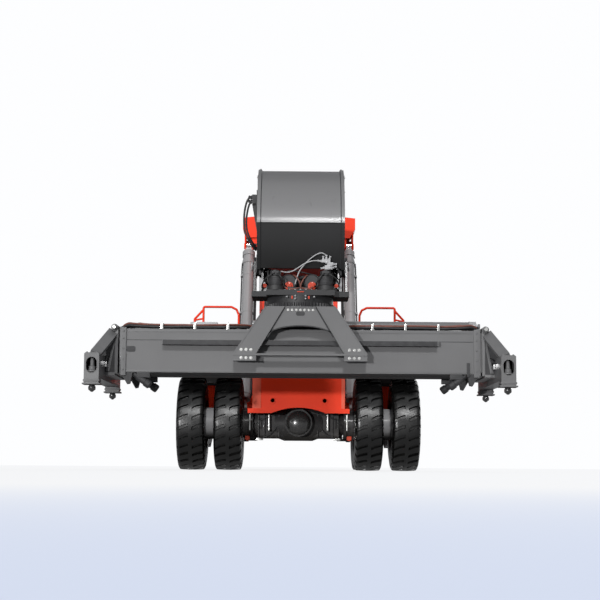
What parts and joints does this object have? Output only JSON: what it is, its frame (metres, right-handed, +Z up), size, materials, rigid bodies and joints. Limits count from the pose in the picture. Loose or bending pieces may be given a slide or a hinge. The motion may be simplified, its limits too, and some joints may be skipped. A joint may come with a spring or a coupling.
{
  "type": "reach stacker",
  "caption": "Reach stacker: wheeled container handler with a cab, counterweight, lifting telescopic boom and a rotating spreader that grips boxes by their corners.",
  "frame": {"origin": "middle of the whole machine's footprint, on the ground under the tyres", "axes": "+Z up, -Y the way the machine faces (spreader end), +X to the right of someone who faces the spreader"},
  "size_m": [6.063, 12.7446, 5.1268],
  "materials": {
    "red_paint": "semi-gloss vermilion paint",
    "grey_paint": "satin mid-grey paint",
    "charcoal_paint": "satin charcoal paint",
    "tyre_rubber": "black rubber with a dull sheen",
    "rim_paint": "light grey paint",
    "window_glass": "clear tinted glass",
    "cylinder_paint": "glossy grey paint",
    "chrome_rod": "ground and chromed",
    "bare_steel": "machined steel",
    "seat_fabric": "black woven cloth",
    "lamp_housing": "black moulded plastic"
  },
  "bodies": {
    "chassis": {"chassis_rail_left": "red_paint", "chassis_rail_right": "red_paint", "chassis_deck": "charcoal_paint", "front_panel": "red_paint", "rear_frame": "charcoal_paint", "drive_axle": "charcoal_paint", "steer_axle": "charcoal_paint", "counterweight": "red_paint", "boom_tower": "red_paint", "engine_hood": "red_paint", "engine_block": "charcoal_paint", "fuel_tank": "red_paint", "hydraulic_tank": "red_paint", "front_fenders": "charcoal_paint", "rear_fenders": "charcoal_paint", "guard_rails": "red_paint", "access_steps": "charcoal_paint", "cab_shell": "red_paint", "cab_glass": "window_glass", "seat_frame": "charcoal_paint", "seat_cushions": "seat_fabric", "control_console": "charcoal_paint", "work_lamps": "lamp_housing", "exhaust": "bare_steel"},
    "outer_boom": {"outer_boom": "red_paint", "extension_barrel": "cylinder_paint"},
    "inner_boom": {"inner_boom": "grey_paint", "boom_head": "grey_paint", "extension_rod": "chrome_rod"},
    "yoke": {"yoke": "grey_paint", "slew_motors": "charcoal_paint"},
    "rotator": {"side_shift_frame": "grey_paint"},
    "spreader": {"spreader_frame": "grey_paint", "telescope_barrels": "cylinder_paint"},
    "front_wheels_left": {"front_wheel_left": "rim_paint", "front_tyres_left": "tyre_rubber"},
    "front_wheels_right": {"front_wheel_right": "rim_paint", "front_tyres_right": "tyre_rubber"},
    "steering_left": {"knuckle_left": "charcoal_paint"},
    "rear_wheels_left": {"rear_wheel_left": "rim_paint", "rear_tyre_left": "tyre_rubber"},
    "steering_right": {"knuckle_right": "charcoal_paint"},
    "rear_wheels_right": {"rear_wheel_right": "rim_paint", "rear_tyre_right": "tyre_rubber"},
    "spreader_end_right": {"telescoping_beam_right": "grey_paint", "end_frame_right": "grey_paint"},
    "spreader_end_left": {"telescoping_beam_left": "grey_paint", "end_frame_left": "grey_paint"},
    "lock_front_right": {"twistlock_front_right": "bare_steel"},
    "lock_rear_right": {"twistlock_rear_right": "bare_steel"},
    "lock_front_left": {"twistlock_front_left": "bare_steel"},
    "lock_rear_left": {"twistlock_rear_left": "bare_steel"},
    "lift_barrel_left": {"lift_barrel_left": "cylinder_paint"},
    "lift_rod_left": {"lift_rod_left": "chrome_rod"},
    "lift_barrel_right": {"lift_barrel_right": "cylinder_paint"},
    "lift_rod_right": {"lift_rod_right": "chrome_rod"},
    "door_left": {"cab_door_left": "red_paint", "door_glass_left": "window_glass"},
    "door_right": {"cab_door_right": "red_paint", "door_glass_right": "window_glass"}
  },
  "joints": [
    {"name": "front_left_spin", "type": "hinge", "parent": "chassis", "child": "front_wheels_left", "pos_m": [-1.2275, -1.02775, 0.82], "axis": [1, 0, 0], "continuous": true},
    {"name": "front_right_spin", "type": "hinge", "parent": "chassis", "child": "front_wheels_right", "pos_m": [1.2275, -1.02775, 0.82], "axis": [1, 0, 0], "continuous": true},
    {"name": "steer_left", "type": "hinge", "parent": "chassis", "child": "steering_left", "pos_m": [-1.12, 4.97225, 0.82], "axis": [0, 0, 1], "range_deg": [-50, 50]},
    {"name": "rear_left_spin", "type": "hinge", "parent": "steering_left", "child": "rear_wheels_left", "pos_m": [-1.45, 4.97225, 0.82], "axis": [1, 0, 0], "continuous": true},
    {"name": "steer_right", "type": "hinge", "parent": "chassis", "child": "steering_right", "pos_m": [1.12, 4.97225, 0.82], "axis": [0, 0, 1], "range_deg": [-50, 50]},
    {"name": "rear_right_spin", "type": "hinge", "parent": "steering_right", "child": "rear_wheels_right", "pos_m": [1.45, 4.97225, 0.82], "axis": [1, 0, 0], "continuous": true},
    {"name": "boom_lift", "type": "hinge", "parent": "chassis", "child": "outer_boom", "pos_m": [0, 5.37225, 4.1], "axis": [-1, 0, 0], "range_deg": [0, 60]},
    {"name": "boom_extend", "type": "slide", "parent": "outer_boom", "child": "inner_boom", "axis": [0, 0.9997, 0.0262], "range_m": [-5, 1.1]},
    {"name": "yoke_level", "type": "hinge", "parent": "inner_boom", "child": "yoke", "pos_m": [0, -5.13775, 3.05], "axis": [-1, 0, 0], "range_deg": [-60, 0]},
    {"name": "spreader_rotate", "type": "hinge", "parent": "yoke", "child": "rotator", "pos_m": [0, -5.13775, 2.48], "axis": [0, 0, 1], "range_deg": [-95, 185]},
    {"name": "side_shift", "type": "slide", "parent": "rotator", "child": "spreader", "axis": [1, 0, 0], "range_m": [-0.8, 0.8]},
    {"name": "telescope_right", "type": "slide", "parent": "spreader", "child": "spreader_end_right", "axis": [1, 0, 0], "range_m": [0, 3.05]},
    {"name": "telescope_left", "type": "slide", "parent": "spreader", "child": "spreader_end_left", "axis": [-1, 0, 0], "range_m": [0, 3.05]},
    {"name": "lock_front_right_turn", "type": "hinge", "parent": "spreader_end_right", "child": "lock_front_right", "pos_m": [2.9265, -6.26725, 1.202], "axis": [0, 0, 1], "range_deg": [0, 90]},
    {"name": "lock_rear_right_turn", "type": "hinge", "parent": "spreader_end_right", "child": "lock_rear_right", "pos_m": [2.9265, -4.00825, 1.202], "axis": [0, 0, 1], "range_deg": [0, 90]},
    {"name": "lock_front_left_turn", "type": "hinge", "parent": "spreader_end_left", "child": "lock_front_left", "pos_m": [-2.9265, -6.26725, 1.202], "axis": [0, 0, 1], "range_deg": [0, 90]},
    {"name": "lock_rear_left_turn", "type": "hinge", "parent": "spreader_end_left", "child": "lock_rear_left", "pos_m": [-2.9265, -4.00825, 1.202], "axis": [0, 0, 1], "range_deg": [0, 90]},
    {"name": "lift_barrel_left_swing", "type": "hinge", "parent": "chassis", "child": "lift_barrel_left", "pos_m": [-1.015, 0.37225, 1.1], "axis": [-1, 0, 0], "range_deg": [0, 4.45]},
    {"name": "lift_rod_left_slide", "type": "slide", "parent": "lift_barrel_left", "child": "lift_rod_left", "axis": [0, 0.4655, 0.885], "range_m": [0, 3.203]},
    {"name": "lift_barrel_right_swing", "type": "hinge", "parent": "chassis", "child": "lift_barrel_right", "pos_m": [1.015, 0.37225, 1.1], "axis": [-1, 0, 0], "range_deg": [0, 4.45]},
    {"name": "lift_rod_right_slide", "type": "slide", "parent": "lift_barrel_right", "child": "lift_rod_right", "axis": [0, 0.4655, 0.885], "range_m": [0, 3.203]},
    {"name": "door_left_swing", "type": "hinge", "parent": "chassis", "child": "door_left", "pos_m": [-0.794, 3.21225, 2.5], "axis": [0, 0, -1], "range_deg": [0, 95]},
    {"name": "door_right_swing", "type": "hinge", "parent": "chassis", "child": "door_right", "pos_m": [0.794, 3.21225, 2.5], "axis": [0, 0, 1], "range_deg": [0, 95]}
  ],
  "couplings": [
    {"joint": "steer_right", "follows": "steer_left", "ratio": 1},
    {"joint": "yoke_level", "follows": "boom_lift", "ratio": -1},
    {"joint": "telescope_left", "follows": "telescope_right", "ratio": 1},
    {"joint": "lock_rear_right_turn", "follows": "lock_front_right_turn", "ratio": 1},
    {"joint": "lock_front_left_turn", "follows": "lock_front_right_turn", "ratio": 1},
    {"joint": "lock_rear_left_turn", "follows": "lock_front_right_turn", "ratio": 1},
    {"joint": "lift_barrel_left_swing", "follows": "boom_lift", "ratio": 0.074051},
    {"joint": "lift_rod_left_slide", "follows": "boom_lift", "m_per_rad": 3.0578},
    {"joint": "lift_barrel_right_swing", "follows": "boom_lift", "ratio": 0.074051},
    {"joint": "lift_rod_right_slide", "follows": "boom_lift", "m_per_rad": 3.0578}
  ]
}
